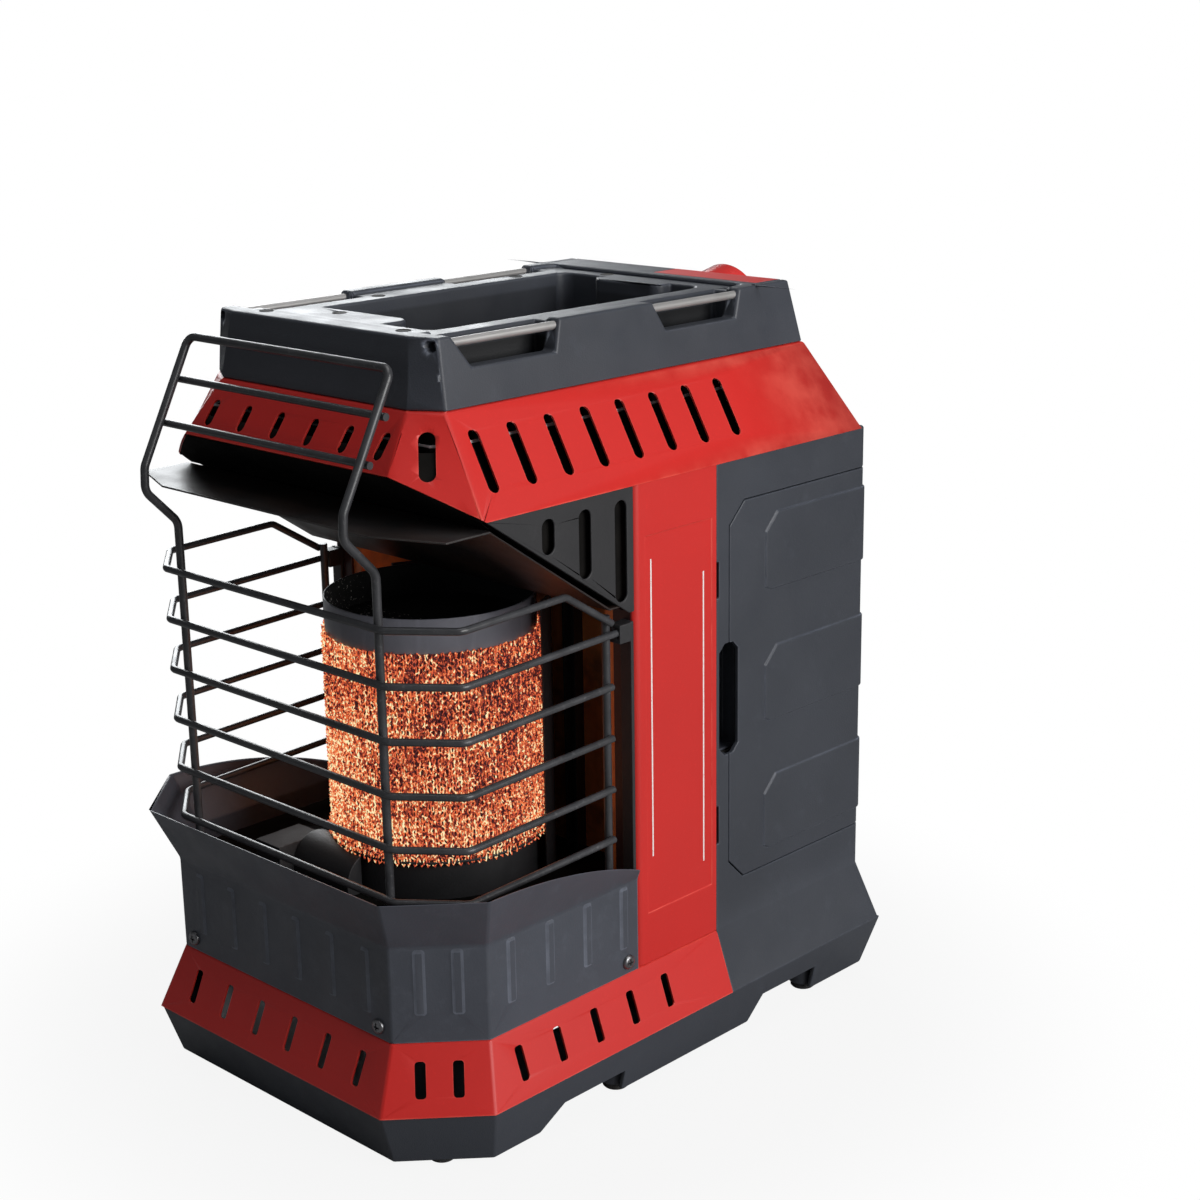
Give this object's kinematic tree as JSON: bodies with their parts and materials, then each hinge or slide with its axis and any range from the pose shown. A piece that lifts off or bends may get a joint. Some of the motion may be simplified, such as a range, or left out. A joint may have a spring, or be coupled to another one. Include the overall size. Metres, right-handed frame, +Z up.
{
  "type": "portable propane heater",
  "caption": "Portable radiant propane heater with a caged glowing cylindrical burner in front, a red and charcoal casing, a cylinder bay with side doors, and a tray on top.",
  "frame": {"origin": "on the floor below the middle of the outline", "axes": "+Z up, -Y towards the burner front, +X the heater's side at the right of the front view"},
  "size_m": [0.2378, 0.3262, 0.3751],
  "materials": {
    "charcoal_plastic": "moulded, fine grain",
    "charcoal_paint": "satin powder coat",
    "red_paint": "semi-gloss enamel",
    "black_paint": "heat-proof matt paint",
    "heat_tinted_paint": "matt paint browned by heat underneath",
    "red_plastic": "glossy",
    "inner_plastic": "moulded",
    "pad_rubber": "matt",
    "bright_wire": "bright plated rod",
    "wire_coating": "satin coating on wire",
    "plated_screw": "zinc plated",
    "plain_steel": "mill finish",
    "heat_tinted_steel": "straw to copper heat tint",
    "brass": "machined",
    "copper_tube": "soft copper tube",
    "electrode_ceramic": "unglazed",
    "glowing_mesh": "knitted wire glowing orange"
  },
  "bodies": {
    "heater": {"base_tray": "charcoal_plastic", "foot_pads": "pad_rubber", "lower_skirt": "red_paint", "burner_bowl": "charcoal_paint", "bowl_screws": "plated_screw", "left_strip": "red_paint", "right_strip": "red_paint", "rear_case": "charcoal_plastic", "hinge_pins": "plain_steel", "door_catches": "inner_plastic", "upper_collar": "red_paint", "collar_liner": "black_paint", "top_tray": "charcoal_plastic", "left_side_rod": "bright_wire", "right_side_rod": "bright_wire", "control_cover": "charcoal_plastic", "control_panel": "red_paint", "gas_valve": "brass", "piezo_igniter": "inner_plastic", "bulkhead": "plain_steel", "chamber_floor": "plain_steel", "reflector": "heat_tinted_steel", "reflector_channels": "black_paint", "burner_plenum": "black_paint", "burner_core": "plain_steel", "burner_mesh": "glowing_mesh", "burner_cap": "black_paint", "burner_shield": "black_paint", "mixing_tube": "plain_steel", "orifice_holder": "brass", "pilot_hood": "black_paint", "pilot_bracket": "black_paint", "pilot_burner": "brass", "thermocouple": "copper_tube", "igniter_electrode": "electrode_ceramic", "deflector": "heat_tinted_paint", "left_cheek": "black_paint", "right_cheek": "black_paint", "guard_arch": "wire_coating", "guard_cross_wires": "wire_coating", "guard_hoops": "wire_coating", "guard_rear_wires": "wire_coating", "left_guard_bracket": "black_paint", "right_guard_bracket": "black_paint", "regulator": "brass", "regulator_bracket": "plain_steel", "supply_pipe": "copper_tube", "burner_pipe": "copper_tube", "pilot_pipe": "copper_tube", "hose_inlet": "brass", "inlet_pipe": "copper_tube", "tip_switch": "inner_plastic"},
    "right_door": {"right_door": "charcoal_plastic"},
    "left_door": {"left_door": "charcoal_plastic"},
    "stem": {"valve_stem": "plain_steel"},
    "knob": {"control_knob": "red_plastic"}
  },
  "joints": [
    {"name": "right_door_hinge", "type": "hinge", "parent": "heater", "child": "right_door", "pos_m": [0.102, 0.151, 0.18], "axis": [0, 0, 1], "range_deg": [0, 95]},
    {"name": "left_door_hinge", "type": "hinge", "parent": "heater", "child": "left_door", "pos_m": [-0.102, 0.151, 0.18], "axis": [0, 0, -1], "range_deg": [0, 95]},
    {"name": "knob_push", "type": "slide", "parent": "heater", "child": "stem", "axis": [0, -0.9757, -0.2189], "range_m": [0, 0.0025], "stiffness_N_per_m": 600},
    {"name": "knob_turn", "type": "hinge", "parent": "stem", "child": "knob", "pos_m": [0.018, 0.13609, 0.3505], "axis": [0, 0.9757, 0.2189], "range_deg": [0, 225]}
  ]
}
